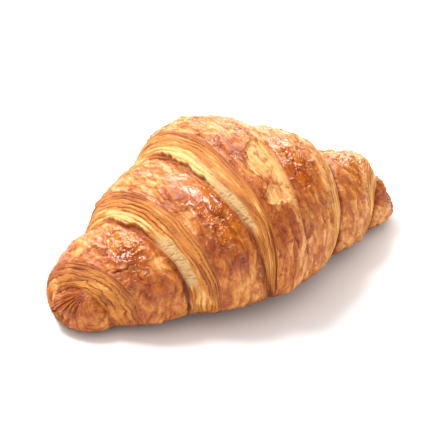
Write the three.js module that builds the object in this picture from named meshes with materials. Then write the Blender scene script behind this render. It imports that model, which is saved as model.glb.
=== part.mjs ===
import * as THREE from "three";

// A straight butter croissant, baked golden brown and left whole.
// It is one long triangle of folded dough rolled up from its base to its point. The point ends under
// the front edge, and every strip of the roll lies over the next one out, towards both tips.
// X runs along the roll, the front looks to -Y and Z is up. It stands on z = 0. Sizes are millimetres.

// Outline of the roll
const HALF_LENGTH = 76;
const BELLY_HALF_WIDTH = 44.5;
const BELLY_HEIGHT = 58;
const WIDEST_LEVEL = 0.435;
const UNDERSIDE_SQUARENESS = 2.6;
const CAP_START = 67;
const MIDDLE_SOFTNESS = 0.12;
const CORE_REACH = 60;

// The two halves of the roll. Each edge list holds the distance of the strip's cut edge from the
// middle, at every quarter turn counted outwards from the point of the triangle.
const LEFT = {
  side: -1,
  endHalfWidth: 10.5,
  widthTaper: 1.29,
  heightLoss: 0.705,
  heightTaper: 1,
  capSharpness: 0.85,
  lean: 0.07,
  leanStart: 50,
  leanRun: 25,
  cutWidth: 10,
  cutGrowth: 0.45,
  edge: [0, 6, 9.6, 17, 23.5, 28.9, 36.8, 43, 48, 55.6, 66.5, 71, 75, 81, 86.5],
};
const RIGHT = {
  side: 1,
  endHalfWidth: 11.3,
  widthTaper: 0.9,
  heightLoss: 0.655,
  heightTaper: 1.16,
  capSharpness: 1.05,
  lean: 0.7,
  leanStart: 67,
  leanRun: 10,
  cutWidth: 9,
  cutGrowth: 1,
  edge: [0, 5, 13.5, 18, 21, 25.8, 39, 45, 46.5, 52.4, 68, 72, 76, 81, 86.5],
};

// The wound strip: its point lies under the front, and each half closes after three turns and a third
const POINT_ANGLE = -70;
const TURNS = 10 / 3;
const TONGUE_WIDTH = 2.8;
const TONGUE_TURN = 0.28;

// Steps from each strip down to the next one
const STEP_DEPTH = 3.65;
const STEP_START = 0.22;
const STEP_END = 0.5;
const SWELL = 1.55;
const EDGE_SWELL = 0.72;
const CRUST_ROUNDING = 2.2;
const UNDERSIDE_PRESSING = 0.7;

// Places where the dough rose more or less than the even shape. Reach is the distance from the
// middle, negative to the left, and angle goes round the roll from the front over the top.
const BULGES = [
  { reach: -5, angle: 118, length: 11, arc: 32, height: 0.5 },
  { reach: -12, angle: 135, length: 7, arc: 25, height: 0.75 },
  { reach: 51, angle: 98, length: 9, arc: 45, height: -2.75 },
  { reach: 64.5, angle: 60, length: 4, arc: 40, height: 1.25 },
  { reach: -74.5, angle: 170, length: 6, arc: 45, height: 1 },
  { reach: -50, angle: 130, length: 7, arc: 30, height: -1.75 },
  { reach: 0, angle: -8, length: 35, arc: 20, height: -1 },
];

// Layers of dough that stand out along the cut faces
const LAYERS = 3;
const LAYER_DEPTH = 1.1;

// Uneven crust, smooth again close to the tips
const RIPPLE = 0.4;
const TIP_CALM = 5;

// A torn flake on the front of the middle strip, where the top layer has come away
const TEAR_ANGLE = 57;
const TEAR_HALF_ANGLE = 16;
const TEAR_REACH = 6;
const TEAR_DEPTH = 0.8;

// Pleats that fan out from under the last edge at the left end: the fan's centre on that end, seen
// along the roll, then the pleats in a full circle, their depth and how far out they run
const PLEAT_FAN_Y = -9;
const PLEAT_FAN_Z = 18.5;
const PLEATS = 15;
const PLEAT_DEPTH = 1.1;
const PLEAT_LENGTH = 26;
const PLEAT_START = 64;

// Mesh: rows per turn, and columns across the crust and across the cut face of a strip
const ROWS = 51;
const CRUST_COLUMNS = 6;
const CUT_COLUMNS = 6;
const COLUMNS = CRUST_COLUMNS + CUT_COLUMNS;
const WIDEST_CUT_SHARE = 0.6;
const CUT_OPENING_TURN = 0.2;

const { clamp, degToRad, euclideanModulo, lerp } = THREE.MathUtils;

function ease(x) {
  return THREE.MathUtils.smoothstep(x, 0, 1);
}

// Smooth curve through the values of a list that stand one step apart
function through(list, step) {
  const s = clamp(step, 0, list.length - 1.000001);
  const i = Math.floor(s);
  const f = s - i;
  const b = list[i];
  const c = list[i + 1];
  const a = i > 0 ? list[i - 1] : 2 * b - c;
  const d = i + 2 < list.length ? list[i + 2] : 2 * c - b;
  const bend = 2 * a - 5 * b + 4 * c - d;
  const twist = 3 * b - a - 3 * c + d;
  return 0.5 * (2 * b + (c - a) * f + bend * f * f + twist * f * f * f);
}

// Distance of the cut edge from the middle, a number of turns out from the point
function edgeAt(half, turn) {
  const tongue = Math.sin(Math.PI * clamp(turn / TONGUE_TURN, 0, 1));
  return through(half.edge, 4 * Math.min(turn, TURNS)) + TONGUE_WIDTH * tongue;
}

// A strip at one turn: it reaches from the edge of the strip above it out to its own edge
function stripAt(half, turn) {
  const above = Math.max(turn - 1, 0);
  const inner = turn > 1 ? edgeAt(half, above) : 0;
  const outer = edgeAt(half, turn);
  const room = clamp((outer - inner) / 12, 0, 1);
  const cut = half.cutWidth * ease(above / half.cutGrowth) * room;
  const step = STEP_DEPTH * ease(above / STEP_START) * ease((TURNS - above) / STEP_END);
  return { inner, outer, cut, step };
}

// Keeps 0 and 1 where they are and flattens the start, so that the two halves meet smoothly
function soften(share) {
  const whole = Math.hypot(1, MIDDLE_SOFTNESS) - MIDDLE_SOFTNESS;
  return (Math.hypot(share, MIDDLE_SOFTNESS) - MIDDLE_SOFTNESS) / whole;
}

// Size of the roll's cross section at a distance from the middle, measured along the surface.
// Past the start of the end cap the section shrinks to a point.
function sectionAt(half, reach) {
  const closed = edgeAt(half, TURNS);
  const bend = clamp((reach - CAP_START) / (closed - CAP_START), 0, 1) * (Math.PI / 2);
  const x = reach < CAP_START ? reach : CAP_START + (HALF_LENGTH - CAP_START) * Math.sin(bend);
  const along = soften(x / HALF_LENGTH);
  return {
    x,
    halfWidth: lerp(BELLY_HALF_WIDTH, half.endHalfWidth, along ** half.widthTaper),
    height: BELLY_HEIGHT * (1 - half.heightLoss * along ** half.heightTaper),
    fullness: Math.cos(bend) ** half.capSharpness,
  };
}

// Smooth outline of the roll before its strips are raised, and the way out from its core
function outlineAt(half, turn, reach) {
  const { x, halfWidth, height, fullness } = sectionAt(half, reach);
  const angle = degToRad(POINT_ANGLE) + 2 * Math.PI * turn;
  const forward = Math.cos(angle);
  const rise = Math.sin(angle);
  const middle = height * WIDEST_LEVEL;
  const square = 2 / UNDERSIDE_SQUARENESS;
  const across = rise >= 0 ? -forward : -Math.sign(forward) * Math.abs(forward) ** square;
  const lift = rise >= 0 ? (height - middle) * rise : -middle * Math.abs(rise) ** square;
  const lean = half.lean * lift * fullness * ease((x - half.leanStart) / half.leanRun);
  const point = new THREE.Vector3(
    half.side * (x - lean),
    halfWidth * across * fullness,
    middle + lift * fullness,
  );
  const core = new THREE.Vector3(half.side * Math.min(x, CORE_REACH), 0, middle);
  const outward = point.clone().sub(core).normalize();
  return { point, outward, rise };
}

// Height of the crust over the outline: low beside the strip above, then rounding up to its own edge
function crustHeight(strip, reach) {
  const start = strip.inner + strip.cut;
  const share = clamp((reach - start) / Math.max(strip.outer - start, 0.001), 0, 1);
  const fall = strip.step * (1 - share) ** CRUST_ROUNDING;
  return lerp(SWELL, EDGE_SWELL, share * share) - fall;
}

// Height of the cut face, which drops from the edge of the strip above to the crust below it
function cutHeight(strip, share) {
  const layers = 0.5 - 0.5 * Math.cos(2 * Math.PI * LAYERS * share);
  const depth = LAYER_DEPTH * Math.min(strip.cut / 5, 1) * layers;
  return lerp(EDGE_SWELL, SWELL - strip.step, ease(share)) - depth;
}

// Soft bumps that run with the roll
function ripple(half, turn, reach) {
  const broad = Math.sin(2 * Math.PI * (5 * turn + reach / 9));
  const fine = Math.sin(2 * Math.PI * (9 * turn - reach / 14) + 2);
  const calm = ease((edgeAt(half, TURNS) - reach) / TIP_CALM);
  return RIPPLE * (broad + 0.7 * fine) * ease(reach / 6) * calm;
}

// How much higher the surface stands at its bulges
function bulge(half, turn, reach) {
  const angle = POINT_ANGLE + 360 * turn;
  let total = 0;
  for (const { reach: middle, angle: facing, length, arc, height } of BULGES) {
    const along = (half.side * reach - middle) / length;
    const around = (euclideanModulo(angle - facing + 180, 360) - 180) / arc;
    total += height * Math.exp(-along * along - around * around);
  }
  return total;
}

// How far the crust is gone where the flake is torn off
function tear(turn, reach) {
  const angle = euclideanModulo(POINT_ANGLE + 360 * turn, 360);
  const up = clamp(1 - Math.abs(angle - TEAR_ANGLE) / TEAR_HALF_ANGLE, 0, 1);
  const out = clamp(1 - reach / TEAR_REACH, 0, 1);
  return turn < 1 ? TEAR_DEPTH * Math.min(1, 4 * up * out) : 0;
}

// How far the pleats fold in at the left end
function pleat(half, point, strip, reach) {
  const across = point.y - PLEAT_FAN_Y;
  const up = point.z - PLEAT_FAN_Z;
  const spread = Math.hypot(across, up);
  const fold = 0.5 - 0.5 * Math.cos(PLEATS * Math.atan2(up, across));
  const opening = ease(spread / 8) * ease((PLEAT_LENGTH - spread) / 10);
  const bared = ease((reach - strip.inner - strip.cut) / 3) * ease((reach - PLEAT_START) / 4);
  const calm = ease((edgeAt(half, TURNS) - reach) / TIP_CALM);
  return half === LEFT ? PLEAT_DEPTH * fold * opening * bared * calm : 0;
}

function surfacePoint(half, turn, reach) {
  const { point, outward, rise } = outlineAt(half, turn, reach);
  const strip = stripAt(half, turn);
  const share = strip.cut > 0.001 ? (reach - strip.inner) / strip.cut : 1;
  const hollows = tear(turn, reach) + pleat(half, point, strip, reach);
  const onCut = turn > 1 && share < 1;
  const crust = crustHeight(strip, reach) + ripple(half, turn, reach) - hollows;
  const height = (onCut ? cutHeight(strip, share) : crust) + bulge(half, turn, reach);
  const pressed = 1 - UNDERSIDE_PRESSING * ease((-rise - 0.3) / 0.5);
  point.addScaledVector(outward, height * pressed);
  point.z = Math.max(point.z, 0);
  return point;
}

const positions = [];
const faces = [];

function addVertex(point) {
  positions.push(point.x, point.y, point.z);
  return positions.length / 3 - 1;
}

// Distance from the middle of column c in the row at one turn. Columns run inwards from the strip's
// own edge over its crust, and on over the cut face to the edge of the strip above.
function columnReach(half, turn, c) {
  const { inner, outer, cut } = stripAt(half, turn);
  const width = outer - inner;
  const cutShare = Math.min(WIDEST_CUT_SHARE, cut / width);
  const opening = ease((turn - 1) / CUT_OPENING_TURN);
  const split = lerp(CUT_COLUMNS / COLUMNS, cutShare, opening);
  const overCrust = (1 - split) * (c / CRUST_COLUMNS);
  const overCut = 1 - split + split * ((c - CRUST_COLUMNS) / CUT_COLUMNS);
  return outer - width * (c <= CRUST_COLUMNS ? overCrust : overCut);
}

// The middle of the first turn is one row of points that both halves share
const middle = [];
for (let row = 0; row < ROWS; row++) middle.push(addVertex(surfacePoint(RIGHT, row / ROWS, 0)));

const lastEdgeRow = Math.round(ROWS * TURNS);
const lastRow = lastEdgeRow + ROWS;

// Each half is one ribbon wound like a screw thread: the inner side of every row is the outer side of
// the row one turn before, and all rows past the last edge meet in the tip
for (const half of [LEFT, RIGHT]) {
  const tip = addVertex(surfacePoint(half, lastRow / ROWS, edgeAt(half, TURNS)));
  const ribbon = [];
  for (let row = 0; row <= lastRow; row++) {
    const turn = row / ROWS;
    const line = [];
    for (let c = 0; c <= COLUMNS; c++) {
      if (row === 0) line.push(middle[0]);
      else if (c === COLUMNS) line.push(row < ROWS ? middle[row] : ribbon[row - ROWS][0]);
      else if (row === lastRow || (c === 0 && row >= lastEdgeRow)) line.push(tip);
      else line.push(addVertex(surfacePoint(half, turn, columnReach(half, turn, c))));
    }
    ribbon.push(line);
  }
  for (let row = 0; row < lastRow; row++) {
    for (let c = 0; c < COLUMNS; c++) {
      const a = ribbon[row][c];
      const b = ribbon[row + 1][c];
      const d = ribbon[row + 1][c + 1];
      const e = ribbon[row][c + 1];
      faces.push(half === RIGHT ? [a, b, d] : [a, d, b]);
      faces.push(half === RIGHT ? [a, d, e] : [a, e, d]);
    }
  }
}

const croissantGeometry = new THREE.BufferGeometry();
croissantGeometry.setAttribute("position", new THREE.Float32BufferAttribute(positions, 3));
croissantGeometry.setIndex(faces.filter(([a, b, c]) => a !== b && b !== c && c !== a).flat());
croissantGeometry.computeVertexNormals();

const crustMaterial = new THREE.MeshStandardMaterial({
  color: 0xc27a3c,
  roughness: 0.45,
  metalness: 0,
});

const croissant = new THREE.Mesh(croissantGeometry, crustMaterial);
croissant.name = "croissant";

const model = new THREE.Group();
model.add(croissant);

export default model;
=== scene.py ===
import math

import bpy
import numpy as np
from mathutils import Matrix, Vector


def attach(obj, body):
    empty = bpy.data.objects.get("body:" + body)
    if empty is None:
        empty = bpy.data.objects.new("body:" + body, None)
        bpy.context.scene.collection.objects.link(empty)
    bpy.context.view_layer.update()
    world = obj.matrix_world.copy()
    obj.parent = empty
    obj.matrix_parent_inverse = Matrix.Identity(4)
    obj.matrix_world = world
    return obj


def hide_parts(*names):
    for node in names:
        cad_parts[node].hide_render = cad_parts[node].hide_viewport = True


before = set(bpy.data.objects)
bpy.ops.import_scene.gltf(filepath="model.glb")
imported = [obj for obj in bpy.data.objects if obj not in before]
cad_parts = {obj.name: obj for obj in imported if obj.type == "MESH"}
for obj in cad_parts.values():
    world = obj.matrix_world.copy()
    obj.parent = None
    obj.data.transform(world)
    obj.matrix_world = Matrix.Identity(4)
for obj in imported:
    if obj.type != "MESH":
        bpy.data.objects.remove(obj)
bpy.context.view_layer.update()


# The croissant. The real one is a long triangle of butter dough, folded in layers and rolled up from
# its base to its point, with the point tucked under the front. Each strip of the roll lies over the
# next one out, so both halves step down to the tips like a screw thread. Lengths are millimetres.
HALF_LENGTH = 76.0
BELLY_HALF_WIDTH = 44.5
BELLY_HEIGHT = 58.0
WIDEST_LEVEL = 0.435
UNDERSIDE_SQUARENESS = 2.6
CAP_START = 67.0
MIDDLE_SOFTNESS = 0.12
CORE_REACH = 60.0
POINT_ANGLE = -70.0
TURNS = 10 / 3
TONGUE_WIDTH = 2.8
TONGUE_TURN = 0.28
FULL_STRIP_WIDTH = 12.0
STEP_DEPTH = 3.65
STEP_START = 0.22
STEP_END = 0.5
SWELL = 1.55
EDGE_SWELL = 0.72
CRUST_ROUNDING = 2.2
UNDERSIDE_PRESSING = 0.7
PRESSING_START = 0.3
PRESSING_RUN = 0.5
LEAST_WIDTH = 0.001

# The two halves. Each edge list holds the distance of the strip's cut edge from the middle, at every
# quarter turn counted outwards from the point of the triangle.
LEFT = {
    "side": -1,
    "end_half_width": 10.5,
    "width_taper": 1.29,
    "height_loss": 0.705,
    "height_taper": 1.0,
    "cap_sharpness": 0.85,
    "lean": 0.07,
    "lean_start": 50.0,
    "lean_run": 25.0,
    "cut_width": 10.0,
    "cut_growth": 0.45,
    "edge": [0, 6, 9.6, 17, 23.5, 28.9, 36.8, 43, 48, 55.6, 66.5, 71, 75, 81, 86.5],
}
RIGHT = {
    "side": 1,
    "end_half_width": 11.3,
    "width_taper": 0.9,
    "height_loss": 0.655,
    "height_taper": 1.16,
    "cap_sharpness": 1.05,
    "lean": 0.7,
    "lean_start": 67.0,
    "lean_run": 10.0,
    "cut_width": 9.0,
    "cut_growth": 1.0,
    "edge": [0, 5, 13.5, 18, 21, 25.8, 39, 45, 46.5, 52.4, 68, 72, 76, 81, 86.5],
}
# Places where the dough rose more or less than the even shape: distance from the middle, negative
# to the left, angle round the roll, how far it spreads along and around, and its height
BULGES = [
    (-5, 118, 11, 32, 0.5),
    (-12, 135, 7, 25, 0.75),
    (51, 98, 9, 45, -2.75),
    (64.5, 60, 4, 40, 1.25),
    (-74.5, 170, 6, 45, 1.0),
    (-50, 130, 7, 30, -1.75),
    (0, -8, 35, 20, -1.0),
]
# Rows of the mesh to a turn, and columns across the crust and across the cut face of a strip
ROWS = 600
CRUST_COLUMNS = 56
CUT_COLUMNS = 56
COLUMNS = CRUST_COLUMNS + CUT_COLUMNS
WIDEST_CUT_SHARE = 0.6
CUT_OPENING_TURN = 0.2
# The unwrapped skin lies in one stripe for each lap, five laps to a half
LAPS = 5
STRIPE_WIDTH = 0.5 / LAPS
STRIPE_FILL = 0.96


def ease(x):
    """0 below 0, 1 above 1, and a soft slope in between."""
    x = np.clip(x, 0.0, 1.0)
    return x * x * (3 - 2 * x)


def between(values, start, end, rise, fall):
    """1 from start to end, with soft slopes of the given lengths inside both ends."""
    return ease((values - start) / rise) * ease((end - values) / fall)


def lerp(a, b, f):
    return a + (b - a) * f


def through(values, step):
    """Smooth curve through values that stand one step apart."""
    values = np.array(values, float)
    values = np.concatenate(([2 * values[0] - values[1]], values, [2 * values[-1] - values[-2]]))
    step = np.clip(step, 0, len(values) - 3.000001)
    i = np.floor(step).astype(int)
    f = step - i
    a, b, c, d = (values[i + k] for k in range(4))
    bend = 2 * a - 5 * b + 4 * c - d
    twist = 3 * b - a - 3 * c + d
    return 0.5 * (2 * b + (c - a) * f + bend * f**2 + twist * f**3)


def edge_at(half, turn):
    """Distance of the strip's cut edge from the middle, so many turns out from the point."""
    tongue = TONGUE_WIDTH * np.sin(np.pi * np.clip(turn / TONGUE_TURN, 0, 1))
    return through(half["edge"], 4 * np.minimum(turn, TURNS)) + tongue


def strip_at(half, turn):
    """Inner edge, outer edge, width of the cut face and depth of the step of the strip at a turn."""
    above = np.maximum(turn - 1, 0)
    inner = np.where(turn > 1, edge_at(half, above), 0)
    outer = edge_at(half, turn)
    room = np.clip((outer - inner) / FULL_STRIP_WIDTH, 0, 1)
    cut = half["cut_width"] * ease(above / half["cut_growth"]) * room
    step = STEP_DEPTH * between(above, 0, TURNS, STEP_START, STEP_END)
    return inner, outer, cut, step


def outline_at(half, turn, reach):
    """Point on the smooth outline, the way out from the roll's core, and how far it faces up."""
    closed = edge_at(half, TURNS)
    bend = np.clip((reach - CAP_START) / (closed - CAP_START), 0, 1) * np.pi / 2
    x = np.where(reach < CAP_START, reach, CAP_START + (HALF_LENGTH - CAP_START) * np.sin(bend))
    fullness = np.cos(bend) ** half["cap_sharpness"]
    soft = MIDDLE_SOFTNESS
    along = (np.hypot(x / HALF_LENGTH, soft) - soft) / (math.hypot(1, soft) - soft)
    width = lerp(BELLY_HALF_WIDTH, half["end_half_width"], along ** half["width_taper"])
    height = BELLY_HEIGHT * (1 - half["height_loss"] * along ** half["height_taper"])
    angle = math.radians(POINT_ANGLE) + 2 * np.pi * turn
    forward = np.cos(angle)
    rise = np.sin(angle)
    middle = height * WIDEST_LEVEL
    square = 2 / UNDERSIDE_SQUARENESS
    across = np.where(rise >= 0, -forward, -np.sign(forward) * np.abs(forward) ** square)
    lift = np.where(rise >= 0, (height - middle) * rise, -middle * np.abs(rise) ** square)
    lean = half["lean"] * lift * fullness * ease((x - half["lean_start"]) / half["lean_run"])
    side = half["side"]
    point = np.stack([side * (x - lean), width * across * fullness, middle + lift * fullness], -1)
    core = np.stack([side * np.minimum(x, CORE_REACH), 0 * x, middle], -1)
    outward = point - core
    outward /= np.linalg.norm(outward, axis=-1, keepdims=True)
    return point, outward, rise


def bulge(half, turn, reach):
    total = 0.0
    for middle, facing, length, arc, height in BULGES:
        along = (half["side"] * reach - middle) / length
        around = ((POINT_ANGLE + 360 * turn - facing + 180) % 360 - 180) / arc
        total = total + height * np.exp(-(along**2) - around**2)
    return total


def swollen(half, turn, reach):
    """Point of the risen surface: domed crust, then a step down the cut face to the next strip."""
    point, outward, rise = outline_at(half, turn, reach)
    inner, outer, cut, step = strip_at(half, turn)
    cut_share = (reach - inner) / np.maximum(cut, LEAST_WIDTH)
    crust_width = np.maximum(outer - inner - cut, LEAST_WIDTH)
    crust_share = np.clip((reach - inner - cut) / crust_width, 0, 1)
    crust = lerp(SWELL, EDGE_SWELL, crust_share**2) - step * (1 - crust_share) ** CRUST_ROUNDING
    on_cut = (turn > 1) & (cut_share < 1) & (cut > LEAST_WIDTH)
    face = lerp(EDGE_SWELL, SWELL - step, ease(cut_share))
    height = np.where(on_cut, face, crust) + bulge(half, turn, reach)
    height = height * (1 - UNDERSIDE_PRESSING * ease((-rise - PRESSING_START) / PRESSING_RUN))
    return point + outward * height[..., None], on_cut, np.clip(cut_share, 0, 1)


def wind(half, first, middle):
    """Rows and columns of one half: turn and reach of each vertex, and the vertex numbers."""
    last = round(ROWS * TURNS) + ROWS
    row = np.arange(last + 1)[:, None]
    column = np.arange(COLUMNS + 1)[None, :]
    turn = row / ROWS + 0.0 * column
    inner, outer, cut, _ = strip_at(half, turn)
    width = outer - inner
    cut_part = np.minimum(WIDEST_CUT_SHARE, cut / np.maximum(width, LEAST_WIDTH))
    split = lerp(CUT_COLUMNS / COLUMNS, cut_part, ease((turn - 1) / CUT_OPENING_TURN))
    over_crust = (1 - split) * column / CRUST_COLUMNS
    over_cut = 1 - split + split * (column - CRUST_COLUMNS) / CUT_COLUMNS
    reach = outer - width * np.where(column <= CRUST_COLUMNS, over_crust, over_cut)
    own = (row > 0) & (row < last) & (column < COLUMNS) & ((column > 0) | (row < last - ROWS))
    number = np.zeros(own.shape, int)
    number[own] = first + np.arange(own.sum())
    tip = first + own.sum()
    number[(row > 0) & ~own & (column < COLUMNS)] = tip
    number[last, :COLUMNS] = tip
    number[0, :] = middle[0]
    number[1:ROWS, COLUMNS] = middle[1:]
    number[ROWS:, COLUMNS] = number[: last + 1 - ROWS, 0]
    return turn, reach, own, number, tip


middle_turn = np.arange(ROWS) / ROWS
middle_numbers = np.arange(ROWS)
ribbons = []
first_number = ROWS
for half in (LEFT, RIGHT):
    turn, reach, own, number, tip = wind(half, first_number, middle_numbers)
    ribbons.append((half, turn, reach, own, number, tip))
    first_number = tip + 1
vertex_count = first_number

# What is known of each vertex, by its number: its place in the winding and on its strip
turn_of = np.zeros(vertex_count)
reach_of = np.zeros(vertex_count)
side_of = np.zeros(vertex_count)
on_cut_face = np.zeros(vertex_count, bool)
cut_share_of = np.zeros(vertex_count)
from_edge_of = np.zeros(vertex_count)
from_foot_of = np.zeros(vertex_count)
place = np.zeros((vertex_count, 3))


def fill(numbers, half, turn, reach):
    point, on_cut, cut_share = swollen(half, turn, reach)
    inner, outer, cut, _ = strip_at(half, turn)
    place[numbers] = point
    turn_of[numbers] = turn
    reach_of[numbers] = reach
    side_of[numbers] = half["side"]
    on_cut_face[numbers] = on_cut
    cut_share_of[numbers] = cut_share
    from_edge_of[numbers] = outer - reach
    from_foot_of[numbers] = reach - inner - cut


fill(middle_numbers, RIGHT, middle_turn, 0 * middle_turn)
side_of[middle_numbers] = 0
quads = []
quad_uv = []
for ribbon, (half, turn, reach, own, number, tip) in enumerate(ribbons):
    fill(number[own], half, turn[own], reach[own])
    fill(np.array([tip]), half, np.array([TURNS + 1]), np.array([edge_at(half, TURNS)]))
    a, b = number[:-1, :-1], number[1:, :-1]
    c, d = number[1:, 1:], number[:-1, 1:]
    ring = [a, b, c, d] if half is RIGHT else [d, c, b, a]
    quads.append(np.stack(ring, -1).reshape(-1, 4))
    row, column = np.meshgrid(np.arange(a.shape[0]), np.arange(COLUMNS), indexing="ij")
    lap = row // ROWS
    low = row / ROWS - lap
    high = low + 1 / ROWS
    left = STRIPE_WIDTH * (LAPS * ribbon + lap + STRIPE_FILL * column / COLUMNS)
    right = left + STRIPE_WIDTH * STRIPE_FILL / COLUMNS
    corners = [(low, left), (high, left), (high, right), (low, right)]
    corners = corners if half is RIGHT else corners[::-1]
    quad_uv.append(np.stack([np.stack(corner, -1) for corner in corners], -2).reshape(-1, 4, 2))
quads = np.concatenate(quads)
quad_uv = np.concatenate(quad_uv)


def vertex_normals(points, quads):
    across = points[quads[:, 2]] - points[quads[:, 0]]
    along = points[quads[:, 3]] - points[quads[:, 1]]
    face = np.cross(across, along)
    total = np.zeros_like(points)
    for k in range(4):
        for axis in range(3):
            total[:, axis] += np.bincount(quads[:, k], face[:, axis], len(points))
    return total / np.maximum(np.linalg.norm(total, axis=1, keepdims=True), 1e-12)


normal = vertex_normals(place, quads)


# The relief of the cut faces and of the crust. In the oven the layers of butter and dough part: the
# cut faces open into thin leaves with dark gaps, and the crust folds, blisters and flakes. In each
# call for a pattern the sizes of its lumps come before the last number, which only picks the draw.
def cloud(p, size, draw):
    """Smooth noise between about -1 and 1, with lumps of the given size."""
    rng = np.random.default_rng(draw)
    order = rng.permutation(256)
    order = np.concatenate([order, order, order])
    arrows = rng.normal(size=(256, 3))
    arrows /= np.linalg.norm(arrows, axis=1, keepdims=True)
    q = p / np.asarray(size, float) + rng.uniform(0, 50, 3)
    cell = np.floor(q).astype(int)
    f = q - cell
    w = f**3 * (f * (f * 6 - 15) + 10)
    cell %= 256
    total = np.zeros(len(q))
    for i in (0, 1):
        for j in (0, 1):
            for k in (0, 1):
                pick = order[(cell[:, 0] + i) % 256]
                pick = order[pick + (cell[:, 1] + j) % 256]
                arrow = arrows[order[pick + (cell[:, 2] + k) % 256]]
                step = (f[:, 0] - i, f[:, 1] - j, f[:, 2] - k)
                dot = arrow[:, 0] * step[0] + arrow[:, 1] * step[1] + arrow[:, 2] * step[2]
                share = (w[:, 0] if i else 1 - w[:, 0]) * (w[:, 1] if j else 1 - w[:, 1])
                total += dot * share * (w[:, 2] if k else 1 - w[:, 2])
    return total * 1.6


def plates(p, size, draw):
    """Irregular cells: how far a point is from its cell's border, and a random value per cell."""
    rng = np.random.default_rng(draw)
    order = rng.permutation(256)
    order = np.concatenate([order, order, order])
    middles = rng.uniform(0.1, 0.9, (256, 3))
    chance = rng.uniform(0, 1, 256)
    q = p / np.asarray(size, float) + rng.uniform(0, 50, 3)
    cell = np.floor(q).astype(int)
    f = q - cell
    cell %= 256
    nearest = np.full(len(q), 9.0)
    second = np.full(len(q), 9.0)
    value = np.zeros(len(q))
    for i in (-1, 0, 1):
        for j in (-1, 0, 1):
            for k in (-1, 0, 1):
                pick = order[(cell[:, 0] + i) % 256]
                pick = order[pick + (cell[:, 1] + j) % 256]
                pick = order[pick + (cell[:, 2] + k) % 256]
                away = np.linalg.norm(middles[pick] + (i, j, k) - f, axis=1)
                closer = away < nearest
                second = np.where(closer, nearest, np.minimum(second, away))
                value = np.where(closer, chance[pick], value)
                nearest = np.where(closer, away, nearest)
    return second - nearest, value


def web(p, size, draw):
    """Rounded ridges round small hollows: 1 along a ridge, 0 in a hollow."""
    return 1 - np.clip(np.abs(cloud(p, size, draw)) * 2.2, 0, 1) ** 0.7


def veins(p, size, draw, sharpness):
    """Fine branching lines: 1 along a line, falling to 0 beside it."""
    return np.exp(-np.abs(cloud(p, size, draw)) * sharpness)


def line(away, width):
    """1 where the distance away is 0, falling to 0 a little beyond the width."""
    return np.exp(-((away / width) ** 2))


def warp(p, size, first_draw):
    """Three clouds, to push a pattern out of its straight rows."""
    return np.stack([cloud(p, size, first_draw + k) for k in range(3)], 1)


def spot(reach, angle, reach_size, angle_size):
    """Soft patch on the side that shows, 1 at its middle and 0 a little beyond its size."""
    away = np.hypot((signed_reach - reach) / reach_size, (angle_of - angle) / angle_size)
    return ease(1.35 - away)


# Coordinates that the patterns follow: along the rolled-up strip and across it, with each half's
# pattern its own, and the angle round the roll from the front edge at 0 over the top at 90
ROUND_LENGTH = 226.0
HALVES_APART = 40.0
rolled = np.stack([turn_of * ROUND_LENGTH, reach_of, side_of * HALVES_APART], 1)
angle_of = (POINT_ANGLE + 360 * turn_of + 90) % 360 - 90
facing_up = np.sin(np.radians(angle_of))
signed_reach = side_of * reach_of
on_left = side_of < 0
on_right = side_of > 0
on_middle_strip = turn_of < 1
on_top = ease((facing_up + 0.1) / 0.6)
underside = ease((-facing_up - 0.35) / 0.4)
low_front = ease((50 - angle_of) / 45)

# Leaves of the cut faces: fine under the edge, broader at the foot, and fewer on the last wrap at
# the left end. Their gaps open and close along the strip.
CUT_FACE_SCALE = 10.0
LEAVES = 9.0
LAST_WRAP_LEAVES = 6.0
LAST_WRAP_TURN = 2.7
LEAF_LENGTH = 22.0
LEAF_STAND = 0.65
LEAF_ROUNDING = 0.3
GAP_WIDTH = 0.13
GAP_DEPTH = 0.95
THREAD_DEPTH = 0.14
FINE_LEAVES_IN_LEAF = 3.1
FINE_GAP_WIDTH = 0.15
FINE_GAP_DEPTH = 0.3
last_wrap = ease((turn_of - LAST_WRAP_TURN) / 0.4) * on_left
leaves = lerp(LEAVES, LAST_WRAP_LEAVES, last_wrap)
face_level = cut_share_of * CUT_FACE_SCALE
own_pattern = side_of * 31.0 + np.floor(turn_of) * 7.0
leaf_place = np.stack([rolled[:, 0], face_level, own_pattern], 1)
leaf_wave = 0.8 * cloud(leaf_place, (30, 7, 9), 11) + 0.4 * cloud(leaf_place, (9, 3, 9), 12)
leaf_wave += 0.14 * cloud(leaf_place, (2.6, 2.2, 9), 69)
leaf_step = leaves * cut_share_of**0.85 + leaf_wave
leaf = np.floor(leaf_step)
leaf_share = leaf_step - leaf
leaf_key = np.stack([rolled[:, 0] / LEAF_LENGTH, leaf * 5.37, side_of * 13.0 + leaf * 0.61], 1)
leaf_out = cloud(leaf_key, 1.0, 13)
leaf_tone = cloud(leaf_key + 7.7, 1.0, 17)
gap_open = np.clip(0.28 + 1.5 * cloud(leaf_key * (2, 1, 1) + 3.3, 1.0, 14), 0.0, 1.2)
gap = line(np.minimum(leaf_share, 1 - leaf_share), GAP_WIDTH) * gap_open
leaf_round = (4 * leaf_share * (1 - leaf_share)) ** 0.5
thread = cloud(leaf_place * (1, 6.5, 1), (6, 3, 9), 15)
fine_leaf_step = FINE_LEAVES_IN_LEAF * leaf_step + 1.1 * cloud(leaf_place, (12, 2, 9), 18)
fine_gap = line(fine_leaf_step - np.round(fine_leaf_step), FINE_GAP_WIDTH)
fine_gap *= np.clip(0.5 + 1.4 * cloud(leaf_place, (8, 1.0, 9), 19), 0, 1)

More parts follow.
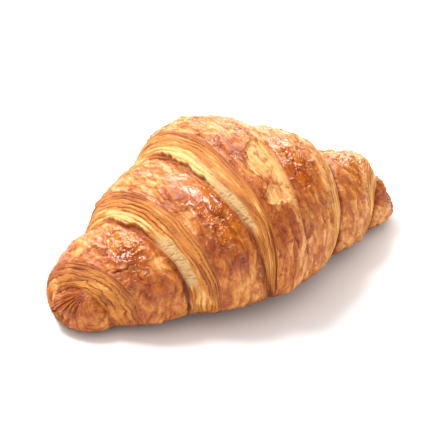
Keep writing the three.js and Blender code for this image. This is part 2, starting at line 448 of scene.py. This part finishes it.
# A deep gap under the lip of the middle strip, low on the left of its front
LIP_GAP_LEVEL = 0.13
LIP_GAP_WIDTH = 0.05
lip_gap = between(angle_of, -24, 36, 12, 12) * on_left * (turn_of < 1.6)
lip_gap *= line(cut_share_of - LIP_GAP_LEVEL, LIP_GAP_WIDTH)
gap = np.maximum(gap, 1.3 * lip_gap)

# Open crumb that shows as a pale ribbed sheet at the foot of two cut faces on the left
COMB_FROM = 0.6
COMB_TO = 0.97
COMB_DEPTH = 0.2
PIT_DEPTH = 0.4
comb_turn = between(angle_of, 2, 64, 10, 10) * (turn_of > 2) * (turn_of < 2.6)
comb_turn += between(angle_of, 24, 98, 12, 12) * (turn_of > 1) * (turn_of < 1.6)
comb_inside = cut_share_of - COMB_FROM + 0.1 * cloud(leaf_place, (9, 3, 9), 55)
honeycomb = ease(comb_inside / 0.04) * ease((COMB_TO - cut_share_of) / 0.05) * comb_turn * on_left

# Loose cream leaves that stand off the same faces further up, each over a gap darkened with painted
# shade
LOOSE_FROM = 0.56
LOOSE_TO = 0.86
LOOSE_LIFT = 0.7
UNDER_LEAF_DEPTH = 0.8
loose_turn = between(angle_of, 62, 128, 14, 14) * on_left * (turn_of < 2.6)
loose_edge = LOOSE_TO + 0.12 * cloud(leaf_place, (7, 90, 9), 56)
loose_edge += 0.05 * cloud(leaf_place, (2.2, 90, 9), 57)
loose_leaf = between(cut_share_of, LOOSE_FROM, loose_edge, 0.08, 0.03) * loose_turn
under_leaf = between(cut_share_of, loose_edge, 0.99, 0.02, 0.03) * loose_turn
honeycomb *= 1 - loose_turn * (cut_share_of < loose_edge)
comb_warp = 0.5 * cloud(leaf_place, (3, 2, 9), 61)[:, None]
pit_border, pit_chance = plates(leaf_place + comb_warp, (1.3, 2.6, 9), 16)
pits = honeycomb * ease((pit_border - 0.04) / 0.4) * (0.45 + 0.55 * pit_chance)

leaf_stand = LEAF_STAND * leaf_out + LEAF_ROUNDING * leaf_round
cut_relief = leaf_stand - GAP_DEPTH * gap + THREAD_DEPTH * thread - FINE_GAP_DEPTH * fine_gap
cut_relief = lerp(cut_relief, -COMB_DEPTH - PIT_DEPTH * pits, honeycomb * 0.9)
cut_relief += LOOSE_LIFT * loose_leaf - UNDER_LEAF_DEPTH * under_leaf
cut_fade = ease(cut_share_of / 0.05)
cut_relief = cut_relief * cut_fade * np.clip(from_edge_of, 0, 1)

# The crease at the foot of a cut face, where it meets the next strip: deeper on the right, and darkened
# in the colour with painted shade out to a distance from the middle
CREASE_WIDTH = 0.9
CREASE_DEPTH = 0.9
RIGHT_CREASE_DEPTH = 1.8
CREASE_SHADE_TO = 60
crease_open = np.clip(0.75 + 0.8 * cloud(rolled, (12, 60, 20), 34), 0.15, 1.5)
crease = line(from_foot_of, CREASE_WIDTH) * crease_open * (turn_of > 1.03)
crease_depth = np.where(on_right, RIGHT_CREASE_DEPTH, CREASE_DEPTH)

# Crust: slow swells, folds and wrinkles that run with the roll, and a smooth glazed place on top of
# the left shoulder
WRINKLE_DEPTH = 0.42
swells = 0.5 * cloud(place, 13, 21) + 0.35 * cloud(place, 6, 22)
fold_run = rolled + 1.3 * warp(place, 7, 50)
wrinkle = veins(fold_run, (18, 2.8, 20), 23, 6) * (0.35 + 0.65 * low_front)
wrinkle += 0.5 * veins(fold_run, (9, 1.9, 20), 35, 7)
folds = 1.1 * np.abs(cloud(fold_run, (15, 4.2, 20), 53))
folds += 0.45 * np.abs(cloud(fold_run, (7, 2.2, 20), 54))
smooth_glaze = spot(-22.5, 75, 6, 17)

# Blisters on top, closest in the four places that sparkle. Each spot in this section has a distance
# from the middle, an angle, a size along and one around, and where a fifth number follows, a strength.
SPECKLED_SPOT = (19, 62, 7, 24)
SPARKLING_SPOTS = [
    (*SPECKLED_SPOT, 1.0),
    (-21, 45, 7, 26, 1.0),
    (-51, 70, 6, 34, 1.0),
    (53, 60, 8, 30, 0.8),
]
sparkle = np.max([strength * spot(*patch) for *patch, strength in SPARKLING_SPOTS], axis=0)
sparkle *= 1 - smooth_glaze
blistered = ease(0.25 + 2.0 * cloud(place, 8, 25)) * (0.25 + 0.75 * on_top) * (1 - smooth_glaze)
blister = (0.3 * web(place, 2.4, 24) + 0.26 * web(place, 1.2, 36)) * blistered
blister += 0.26 * sparkle * web(place, 1.3, 71) * ease(0.5 + 1.5 * cloud(place, 4, 72))
grain = (0.07 * cloud(place, 0.8, 26) + 0.14 * cloud(place, 1.8, 27)) * (1 - 0.7 * smooth_glaze)

# Flakes, and places where the top skin has peeled away with a thin raised rim round them
FLAKE_HEIGHT = 0.3
FLAKE_LINE_DEPTH = 0.12
PEEL_DEPTH = 0.4
PEEL_RIM_HEIGHT = 0.14
flake_warp = warp(place, 5, 37)
flake_border, flake_chance = plates(rolled + 3.5 * flake_warp, (11, 4.5, 9), 40)
flake_line = line(flake_border, 0.05) * ease(0.3 + 1.6 * cloud(place, 9, 48))
flake = FLAKE_HEIGHT * (flake_chance - 0.5) * ease(flake_border / 0.1) * (1 - smooth_glaze)
peel_edge = 0.22 * cloud(place, 2.6, 58) + 0.08 * cloud(place, 1.1, 59)
large_peel = cloud(rolled + 1.5 * flake_warp, (16, 7, 20), 60) + peel_edge - 0.2
small_peel = cloud(rolled + 1.2 * flake_warp, (6.5, 2.8, 20), 70) + 0.7 * peel_edge - 0.3
peel_inside = np.where(large_peel > small_peel, large_peel, small_peel + 0.12 * low_front)
peel = ease(peel_inside / 0.05) * (1 - smooth_glaze)
peel_rim = line(peel_inside + 0.03, 0.05) * (1 - smooth_glaze)

# Thin lines of leaves that run beside the strip's own edge, and the edge's lifted rim
EDGE_LINE_RADIANS_PER_MM = 5.6
EDGE_LINE_HEIGHT = 0.14
edge_wave = EDGE_LINE_RADIANS_PER_MM * from_edge_of + 2.2 * cloud(rolled, (9, 2, 9), 43)
edge_lines = np.sin(edge_wave) * ease((5 - from_edge_of) / 3)
edge_lines *= np.clip(0.5 + cloud(rolled, (14, 3, 9), 44), 0, 1)
edge_lift = line(from_edge_of, 1.1) * (0.3 + 0.3 * cloud(rolled, (6, 9, 9), 30))

crust_relief = swells + (folds - WRINKLE_DEPTH * wrinkle) * (1 - 0.8 * smooth_glaze)
crust_relief += blister + grain + flake - FLAKE_LINE_DEPTH * flake_line
crust_relief += EDGE_LINE_HEIGHT * edge_lines + edge_lift
crust_relief += PEEL_RIM_HEIGHT * peel_rim - PEEL_DEPTH * peel

# The torn place on the front of the middle strip, where the brown skin has come away in two flakes.
# Its left border is a distance from the middle at each angle, and its right border is a straight one.
TORN_ANGLES = [35, 38, 41, 46, 50, 56, 62, 68, 76]
TORN_FROM = [2.5, -1.0, -4.2, -4.8, -1.8, -2.8, -4.8, -2.6, 0.6]
TORN_TO = 7.4
TORN_FOOT = 37.5
TORN_TOP = 76
SEAM_ANGLE = 50.5
TORN_DEPTH = 0.7
TORN_RIM_HEIGHT = 0.45
torn_edge = 0.7 * cloud(place, 3.0, 31) + 0.35 * cloud(place, 1.1, 32)
torn_edge += 1.1 * (plates(rolled + 0.5 * flake_warp, (3.2, 2.4, 9), 62)[1] - 0.5)
torn_from = np.interp(angle_of, TORN_ANGLES, TORN_FROM) + 1.3 * torn_edge
torn_inside = np.minimum(signed_reach - torn_from, TORN_TO - signed_reach) / 2
torn_inside = np.minimum(torn_inside, (TORN_TOP - angle_of + 5 * torn_edge) / 8)
torn_inside = np.minimum(torn_inside, (angle_of - TORN_FOOT + 2.5 * torn_edge) / 5)
torn_inside = np.where((angle_of > TORN_ANGLES[0]) & on_middle_strip, torn_inside, -1)
torn = ease(torn_inside / 0.15)
torn_rim = line(torn_inside + 0.08, 0.14) * on_middle_strip
torn_seam = line(angle_of - SEAM_ANGLE - 2.5 * torn_edge + 0.6 * signed_reach, 0.9) * torn
torn_crack = veins(rolled + 2 * flake_warp, (6, 2.2, 9), 63, 11) * torn
torn_floor = 0.7 * swells + grain + 1.3 * flake + 0.7 * folds
torn_floor -= TORN_DEPTH + 0.35 * torn_crack + 0.5 * torn_seam
crust_relief = lerp(crust_relief, torn_floor, torn) + TORN_RIM_HEIGHT * torn_rim

# Below it the skin is dark and blistered
SCAB_REACH = -1.0
SCAB_ANGLE = 27
scab_away = np.hypot((signed_reach - SCAB_REACH) / 4.3, (angle_of - SCAB_ANGLE) / 11)
scab = ease((1 - scab_away + 0.55 * torn_edge) / 0.35) * on_middle_strip
crust_relief += scab * (0.25 * web(place, 1.8, 45) - 0.15)

# A short crack across the crust of the left shoulder, with its upper lip lifted
CRACK_REACH = -55
CRACK_ANGLE = 50
CRACK_DEPTH = 0.8
MM_PER_DEGREE = 0.55
crack_up = angle_of - CRACK_ANGLE + 0.5 * (signed_reach - CRACK_REACH) + 4 * cloud(place, 3.5, 64)
crack_away = MM_PER_DEGREE * crack_up
crack_here = between(signed_reach, -59.5, -50.5, 2, 2)
crack = line(crack_away, 0.45) * crack_here
crack_lip = line(crack_away - 1.1, 0.7) * crack_here
crust_relief += CRACK_DEPTH * (crack_lip - crack)

# Pleats that fan out from under the last edge at the left end, sharpest on the back half of the fan
PLEAT_FAN_Y = -9.0
PLEAT_FAN_Z = 18.5
PLEATS = 24
FINE_PLEATS = 53
PLEAT_DEPTH = 1.5
PLEAT_LENGTH = 24
PLEAT_START = 64
fan_y = place[:, 1] - PLEAT_FAN_Y
fan_z = place[:, 2] - PLEAT_FAN_Z
from_fan = np.hypot(fan_y, fan_z)
fan = np.arctan2(fan_z, fan_y)
fan_wave = fan + 0.09 * cloud(place, 5, 33) + 0.03 * cloud(place, 2, 65)
fan_fold = (0.5 - 0.5 * np.cos(PLEATS * fan_wave)) ** 4 * (0.75 + 0.6 * cloud(place, 4, 66))
fan_fold += 0.4 * (0.5 - 0.5 * np.cos(FINE_PLEATS * fan_wave + 1)) ** 3
sharp_side = between(np.degrees(fan), -112, 40, 18, 30)
near_left_end = ease((reach_of - PLEAT_START) / 4) * on_left * ease(from_foot_of / 2)
pleat = fan_fold * between(from_fan, 0, PLEAT_LENGTH, 6, 8) * near_left_end
pleat *= 0.25 + 0.75 * sharp_side
crust_relief = lerp(crust_relief, 0.4 * crust_relief, near_left_end) - PLEAT_DEPTH * pleat

# The two tips, where the winding ends in a point, take only the patterns that don't follow it
TIP_START = 79
TIP_RUN = 5
tip_relief = 0.7 * swells + 2 * grain - PLEAT_DEPTH * pleat
relief = np.where(on_cut_face, cut_relief, crust_relief) - crease_depth * crease
relief = lerp(relief, tip_relief, ease((reach_of - TIP_START) / TIP_RUN)) * (1 - 0.6 * underside)
place = place + normal * relief[:, None]
place[:, 2] = np.maximum(place[:, 2], 0)

croissant_mesh = bpy.data.meshes.new("croissant_skin")
following = quads[:, [1, 2, 3, 0]]
kept = quads != following
whole = kept.sum(1) >= 3
kept &= whole[:, None]
sizes = kept[whole].sum(1)
starts = np.concatenate([[0], np.cumsum(sizes)[:-1]])
croissant_mesh.vertices.add(vertex_count)
croissant_mesh.vertices.foreach_set("co", (place / 1000).ravel())
croissant_mesh.loops.add(int(sizes.sum()))
croissant_mesh.loops.foreach_set("vertex_index", quads[kept])
croissant_mesh.polygons.add(len(sizes))
croissant_mesh.polygons.foreach_set("loop_start", starts)
croissant_mesh.polygons.foreach_set("loop_total", sizes)
croissant_mesh.polygons.foreach_set("use_smooth", np.ones(len(sizes), bool))
croissant_mesh.uv_layers.new(name="OFBake").data.foreach_set("uv", quad_uv[kept].ravel())
croissant_mesh.update()
croissant_mesh.validate()
croissant = bpy.data.objects.new("croissant_skin", croissant_mesh)
bpy.context.scene.collection.objects.link(croissant)

# How brown the crust is, from 0 for pale gold to 1 for dark, with painted light and shade in it. Peeled
# skins, the lower front and the edges of the right-hand strips are paler and the darker spots browner;
# the folds and grain are painted paler as lit ridges, the wrinkles darker as painted shade in their
# hollows, and the upper back and two spots on top paler as a painted sheen.
DARKER_SPOTS = [
    (-23, 48, 6, 22, 0.22),
    (-54, 60, 5, 28, 0.16),
    (-4.5, 78, 4, 14, 0.25),
    (53, 55, 5, 20, 0.14),
]
# Two spots on top painted paler: a painted sheen
PALER_SHEEN_SPOTS = [(24, 86, 9, 18, 0.2), (-20, 80, 5, 14, 0.2)]
tone_light_and_shade = 0.5 + 0.2 * cloud(place, 12, 41) + 0.12 * cloud(place, 5, 42) + 0.1 * cloud(place, 2.2, 46)
# Raised folds and grain painted paler as lit ridges, wrinkles darker as painted shade in their hollows
tone_light_and_shade += 0.2 * (flake_chance - 0.5) + 0.3 * wrinkle - 0.3 * grain - 0.28 * (folds - 0.3)
tone_light_and_shade -= 0.2 * peel - 0.12 * peel_rim
tone_light_and_shade += sum(strength * spot(*patch) for *patch, strength in DARKER_SPOTS)
tone_light_and_shade -= sum(strength * spot(*patch) for *patch, strength in PALER_SHEEN_SPOTS)
tone_light_and_shade += spot(*SPECKLED_SPOT) * (0.12 + 0.3 * (web(place, 1.5, 67) - 0.5))
tone_light_and_shade -= 0.23 * ease((20 - angle_of) / 25)
# The upper back painted paler: a painted sheen on top
tone_light_and_shade -= 0.26 * between(angle_of, 75, 165, 30, 35)
tone_light_and_shade -= 0.5 * ease((4.5 - from_edge_of) / 3) * on_right
tone_light_and_shade -= 0.09 * ease((signed_reach - 30) / 20) * ease((150 - angle_of) / 30)
tone_light_and_shade = np.maximum(tone_light_and_shade, scab * (0.64 + 0.2 * torn_edge))
# A paler band just inside the torn border: a painted highlight along its rim
tone_light_and_shade -= 0.4 * torn * line(torn_inside, 0.5)
end_tone = 0.52 + 0.36 * cloud(place, 3.5, 68) + 0.2 * cloud(place, 1.5, 73)
tone_light_and_shade = lerp(tone_light_and_shade, end_tone, near_left_end)
tip_tone = 0.9 * ease((signed_reach - 69) / 5) * ease((70 - angle_of) / 40)
tone_light_and_shade = np.maximum(tone_light_and_shade, tip_tone)

# Where the egg wash shines: in places on top, on the smooth place and where the crust sparkles
glaze = 0.6 * ease(0.1 + 1.5 * cloud(place, 8, 47)) * on_top
glaze = np.maximum(glaze, np.maximum(0.45 * spot(-23.5, 78, 3.5, 14), 0.95 * sparkle))
glaze *= 1 - 0.5 * peel
leaf_tone += 0.25 * on_left * (turn_of > 2.6) - 0.3 * on_right
# Painted shade in the creases, darkest low on the front and along the right half
crease = np.clip(crease, 0, 1)
crease_shade = crease * np.maximum(low_front, 0.95 * on_right) * (reach_of < CREASE_SHADE_TO)


def on_leaves(values):
    return np.where(on_cut_face, values, 0)


painted = {
    "cut_face": on_leaves(ease(cut_share_of / 0.04)),
    "cut_share": cut_share_of,
    "gap": on_leaves(np.clip(gap * (1 - honeycomb), 0, 1) * cut_fade),
    "fine_gap": on_leaves(fine_gap * cut_fade * (1 - honeycomb)),
    "leaf_tone": 0.5 + on_leaves(0.6 * leaf_tone),
    "thread": on_leaves(thread),
    "honeycomb": on_leaves(honeycomb),
    "pits": on_leaves(pits),
    "loose_leaf": on_leaves(loose_leaf),
    "under_leaf": on_leaves(under_leaf),
    "torn": torn,
    "torn_crack": torn_crack,
    "torn_seam": torn_seam,
    "crack": np.clip(crack, 0, 1),
    "tone_light_and_shade": np.clip(tone_light_and_shade, 0, 1),
    "flake_line": flake_line * (1 - torn),
    "wrinkle": np.clip(wrinkle, 0, 1),
    "sparkle": sparkle,
    "glaze": glaze,
    "amber": spot(-20, 78, 7, 20),
    "edge": np.where(on_cut_face, 0, line(from_edge_of, 1.3)),
    "crease": crease,
    "crease_shade": crease_shade,
    "underside": underside,
    "pleat": pleat,
}
for name, values in painted.items():
    attribute = croissant_mesh.attributes.new(name, "FLOAT", "POINT")
    attribute.data.foreach_set("value", values)


class Wire:
    """A socket of a shader, so that shader maths reads like arithmetic."""

    def __init__(self, tree, socket=None):
        self.tree = tree
        self.socket = socket

    def node(self, kind, settings=None, outlet=0, **inlets):
        """Adds a node by its type, its settings, the outlet to use, and what its inlets take."""
        made = self.tree.nodes.new(kind)
        for name, value in (settings or {}).items():
            setattr(made, name, value)
        for name, value in inlets.items():
            inlet = made.inputs[int(name[1:]) if name[0] == "_" else name.replace("_", " ")]
            if isinstance(value, Wire):
                self.tree.links.new(value.socket, inlet)
            else:
                inlet.default_value = value
        return Wire(self.tree, made.outputs[outlet])

    def maths(self, operation, first, second):
        return self.node("ShaderNodeMath", {"operation": operation}, _0=first, _1=second)

    def __add__(self, other):
        return self.maths("ADD", self, other)

    __radd__ = __add__

    def __sub__(self, other):
        return self.maths("SUBTRACT", self, other)

    def __rsub__(self, other):
        return self.maths("SUBTRACT", other, self)

    def __mul__(self, other):
        return self.maths("MULTIPLY", self, other)

    __rmul__ = __mul__

    def clamp(self):
        return self.node("ShaderNodeClamp", _0=self)

    def between(self, low, high):
        """0 at low, 1 at high, eased in between."""
        kind = {"interpolation_type": "SMOOTHSTEP"}
        return self.node("ShaderNodeMapRange", kind, Value=self, From_Min=low, From_Max=high)

    def tint(self, under, over):
        """The colour under, changed to the colour over where this is 1."""
        return self.node("ShaderNodeMix", {"data_type": "RGBA"}, 2, _0=self, _6=under, _7=over)

    def into(self, shader, inlet):
        self.tree.links.new(self.socket, shader.inputs[inlet])


def colour(red, green, blue):
    """A colour as it is seen on a screen, 0 to 255, as the light values a shader takes."""
    parts = [part / 255 for part in (red, green, blue)]
    light = [p / 12.92 if p < 0.0404 else ((p + 0.055) / 1.055) ** 2.4 for p in parts]
    return (*light, 1.0)


# The baked skin: egg-washed dough, brown and half glossy on the crust, pale gold and matt on the
# leaves of the cut faces and where the skin is torn, and dull brown underneath.
# The colour also holds painted shade in creases, gaps, pits, pleats and the crack, and painted light on
# ridges and on top.
CRUST_DARK = colour(114, 42, 10)
CRUST_DEEP = colour(160, 73, 14)
CRUST_MID = colour(186, 100, 27)
CRUST_GOLD = colour(207, 132, 52)
CRUST_PALE = colour(225, 165, 94)
BARE_DOUGH = colour(235, 182, 112)
LEAF_CREAM = colour(231, 178, 100)
LEAF_GOLD = colour(199, 123, 44)
LEAF_BROWN = colour(161, 83, 29)
GAP_BROWN_AND_SHADE = colour(146, 70, 22)
CRUMB_PIT_SHADE = colour(178, 138, 88)
CRUMB_PALE = colour(202, 162, 106)
LOOSE_CREAM = colour(240, 194, 122)
AMBER = colour(196, 98, 10)
UNDERSIDE_BROWN = colour(138, 76, 34)
FINE_SPECKS = 900.0
FINEST_SPECKS = 2200.0
PATCHES = 300.0
SPARKS = 1300.0

baked = bpy.data.materials.new("baked_crust")
baked.use_nodes = True
shader = baked.node_tree.nodes["Principled BSDF"]
crust = Wire(baked.node_tree)
where = crust.node("ShaderNodeTexCoord", None, "Object")


def painted_value(name):
    return crust.node("ShaderNodeAttribute", {"attribute_name": name}, "Fac")


def speckle(scale, detail, roughness=0.5):
    """Noise with so many lumps to a metre."""
    noise = {"Vector": where, "Scale": scale, "Detail": detail, "Roughness": roughness}
    return crust.node("ShaderNodeTexNoise", None, "Fac", **noise)


fine = speckle(FINE_SPECKS, 3.0)
patchy = speckle(PATCHES, 4.0, 0.6)
crust_tone_light_and_shade = painted_value("tone_light_and_shade")
browning_light_and_shade = (crust_tone_light_and_shade + (patchy - 0.5) * 0.3 + (fine - 0.5) * 0.15).clamp()
crust_colour = browning_light_and_shade.between(0.0, 0.22).tint(CRUST_PALE, CRUST_GOLD)
crust_colour = browning_light_and_shade.between(0.2, 0.48).tint(crust_colour, CRUST_MID)
crust_colour = browning_light_and_shade.between(0.45, 0.75).tint(crust_colour, CRUST_DEEP)
crust_colour = browning_light_and_shade.between(0.75, 1.0).tint(crust_colour, CRUST_DARK)
amber = painted_value("amber")
crust_colour = (amber * 0.8).tint(crust_colour, AMBER)
# Wrinkles darkened further: painted shade in their hollows
crust_colour = (painted_value("wrinkle") * 0.35).tint(crust_colour, CRUST_DEEP)
crust_colour = (painted_value("flake_line") * 0.3).tint(crust_colour, BARE_DOUGH)
brown_edge = painted_value("edge") * 0.5 * patchy.between(0.35, 0.6)
crust_colour = brown_edge.tint(crust_colour, CRUST_DEEP)
# Pleat grooves darkened: painted shade
crust_colour = (painted_value("pleat") * 0.75).tint(crust_colour, CRUST_DEEP)
torn_place = painted_value("torn")
torn_colour = (crust_tone_light_and_shade + (patchy - 0.5)).between(0.15, 0.95).tint(BARE_DOUGH, CRUST_MID)
crust_colour = torn_place.tint(crust_colour, torn_colour)
crust_colour = (painted_value("torn_seam") * 0.5).tint(crust_colour, CRUST_DEEP)
crust_colour = (painted_value("torn_crack") * 0.25).tint(crust_colour, CRUST_MID)
# The crack darkened: painted shade under its lifted lip
crust_colour = (painted_value("crack") * 0.7).tint(crust_colour, CRUST_DEEP)

leaf_shade = painted_value("leaf_tone") * 1.05 + (patchy - 0.5) * 0.35
leaf_shade = leaf_shade + painted_value("thread") * 0.28 - 0.12
leaf_shade = (leaf_shade + painted_value("cut_share").between(0.6, 0.0) * 0.3).clamp()
leaf_colour = leaf_shade.between(0.05, 0.45).tint(LEAF_CREAM, LEAF_GOLD)
leaf_colour = leaf_shade.between(0.5, 1.0).tint(leaf_colour, LEAF_BROWN)
# Pits of the crumb darkened: painted shade in their hollows
crumb_colour = painted_value("pits").between(0.1, 0.9).tint(CRUMB_PALE, CRUMB_PIT_SHADE)
leaf_colour = painted_value("honeycomb").tint(leaf_colour, crumb_colour)
leaf_colour = (painted_value("loose_leaf") * 0.8).tint(leaf_colour, LOOSE_CREAM)
# Painted shade under the loose leaves and in the fine gaps, and browner dough with painted shade in the
# gaps
leaf_colour = (painted_value("under_leaf") * 0.7).tint(leaf_colour, LEAF_BROWN)
leaf_colour = (painted_value("fine_gap") * 0.4).tint(leaf_colour, LEAF_BROWN)
leaf_colour = (painted_value("gap") * 0.65).tint(leaf_colour, GAP_BROWN_AND_SHADE)

cut_face = painted_value("cut_face")
below = painted_value("underside")
skin = cut_face.tint(crust_colour, leaf_colour)
# Creases darkened with painted shade, darker still low on the front and on the right
skin = (painted_value("crease") * 0.6).tint(skin, CRUST_DEEP)
skin = (painted_value("crease_shade") * 0.9).tint(skin, CRUST_DARK)
skin = below.tint(skin, UNDERSIDE_BROWN)
skin.into(shader, "Base Color")

dull = (cut_face + torn_place + below).clamp()
sparks = painted_value("sparkle")
rough = 0.46 + dull * 0.2 + (fine - 0.5) * 0.25 - sparks * 0.3 - amber * 0.25
rough.clamp().into(shader, "Roughness")
((1 - dull) * painted_value("glaze") * 0.95).clamp().into(shader, "Coat Weight")
bumps = fine * 0.6 + speckle(FINEST_SPECKS, 2.0) * 0.4 + speckle(SPARKS, 1.0) * sparks * 2.2
crust.node("ShaderNodeBump", Strength=0.5, Distance=0.0004, Height=bumps).into(shader, "Normal")
shader.inputs["Specular IOR Level"].default_value = 0.5
shader.inputs["Coat Roughness"].default_value = 0.12
shader.inputs["Coat IOR"].default_value = 1.45
shader.inputs["Subsurface Weight"].default_value = 0.12
shader.inputs["Subsurface Radius"].default_value = (1.0, 0.45, 0.2)
shader.inputs["Subsurface Scale"].default_value = 0.0008

croissant_mesh.materials.append(baked)
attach(croissant, "root")
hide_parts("croissant")


# The ground and the light of a small photo set: a wide sheet of matt white paper in a white room that
# fills the shadows, and two soft lamps, a square one high up behind to the left and a wide one lower
# down behind to the right. Lengths are metres from here on.
PAPER_REACH = 3.0
PAPER_WHITE = (0.9, 0.875, 0.86, 1)
ROOM_WHITE = (1.0, 0.99, 0.98, 1)
ROOM_STRENGTH = 1.05
LAMP_AIM = Vector((0, 0, 0.02))

paper_mesh = bpy.data.meshes.new("paper")
paper_corners = [(PAPER_REACH * x, PAPER_REACH * y, 0) for x, y in ((-1, -1), (1, -1), (1, 1), (-1, 1))]
paper_mesh.from_pydata(paper_corners, [], [(0, 1, 2, 3)])
paper = bpy.data.objects.new("paper", paper_mesh)
bpy.context.scene.collection.objects.link(paper)
white = bpy.data.materials.new("white_paper")
white.use_nodes = True
white_shader = white.node_tree.nodes["Principled BSDF"]
white_shader.inputs["Base Color"].default_value = PAPER_WHITE
white_shader.inputs["Roughness"].default_value = 0.9
white_shader.inputs["Specular IOR Level"].default_value = 0.1
paper_mesh.materials.append(white)

room = bpy.data.worlds.new("white_room")
room.use_nodes = True
room_light = room.node_tree.nodes["Background"]
room_light.inputs["Color"].default_value = ROOM_WHITE
room_light.inputs["Strength"].default_value = ROOM_STRENGTH
room.cycles_visibility.glossy = False
bpy.context.scene.world = room


def lamp(name, stand, width, height, power):
    light = bpy.data.lights.new(name, "AREA")
    light.shape = "RECTANGLE"
    light.size = width
    light.size_y = height
    light.energy = power
    held = bpy.data.objects.new(name, light)
    held.location = stand
    held.rotation_euler = (LAMP_AIM - Vector(stand)).to_track_quat("-Z", "Y").to_euler()
    bpy.context.scene.collection.objects.link(held)


lamp("soft_key", (-0.25, 0.45, 1.0), 0.4, 0.4, 12.0)
lamp("soft_back", (0.5, 0.95, 0.6), 1.2, 0.5, 13.0)


# The camera: a long lens from the front left, looking down on the croissant as in the photograph.
# It looks along a tilt and a swing, in radians, and its aim falls on a named pixel of the picture.
TILT = 0.5434
SWING = 0.59505
DISTANCE = 0.64467
AIM = Vector((0.001906, 0.0, 0.02344))
PIXELS = 440
FOCAL_PIXELS = 1676.8
AIM_PIXEL_X = 230.63
AIM_PIXEL_Y = 212.58
SENSOR_WIDTH = 36.0

level_look = Vector((math.sin(SWING), math.cos(SWING), 0.0))
looking = level_look * math.cos(TILT) - Vector((0, 0, math.sin(TILT)))
sideways = Vector((math.cos(SWING), -math.sin(SWING), 0.0))
upwards = sideways.cross(looking)
lens = bpy.data.cameras.new("camera")
lens.sensor_width = SENSOR_WIDTH
lens.lens = SENSOR_WIDTH * FOCAL_PIXELS / PIXELS
lens.shift_x = (PIXELS / 2 - AIM_PIXEL_X) / PIXELS
lens.shift_y = (AIM_PIXEL_Y - PIXELS / 2) / PIXELS
lens.clip_start = 0.01
camera = bpy.data.objects.new("camera", lens)
turned = Matrix((sideways, upwards, -looking)).transposed().to_4x4()
camera.matrix_world = Matrix.Translation(AIM - looking * DISTANCE) @ turned
bpy.context.scene.collection.objects.link(camera)
bpy.context.scene.camera = camera
bpy.context.scene.view_settings.view_transform = "Standard"
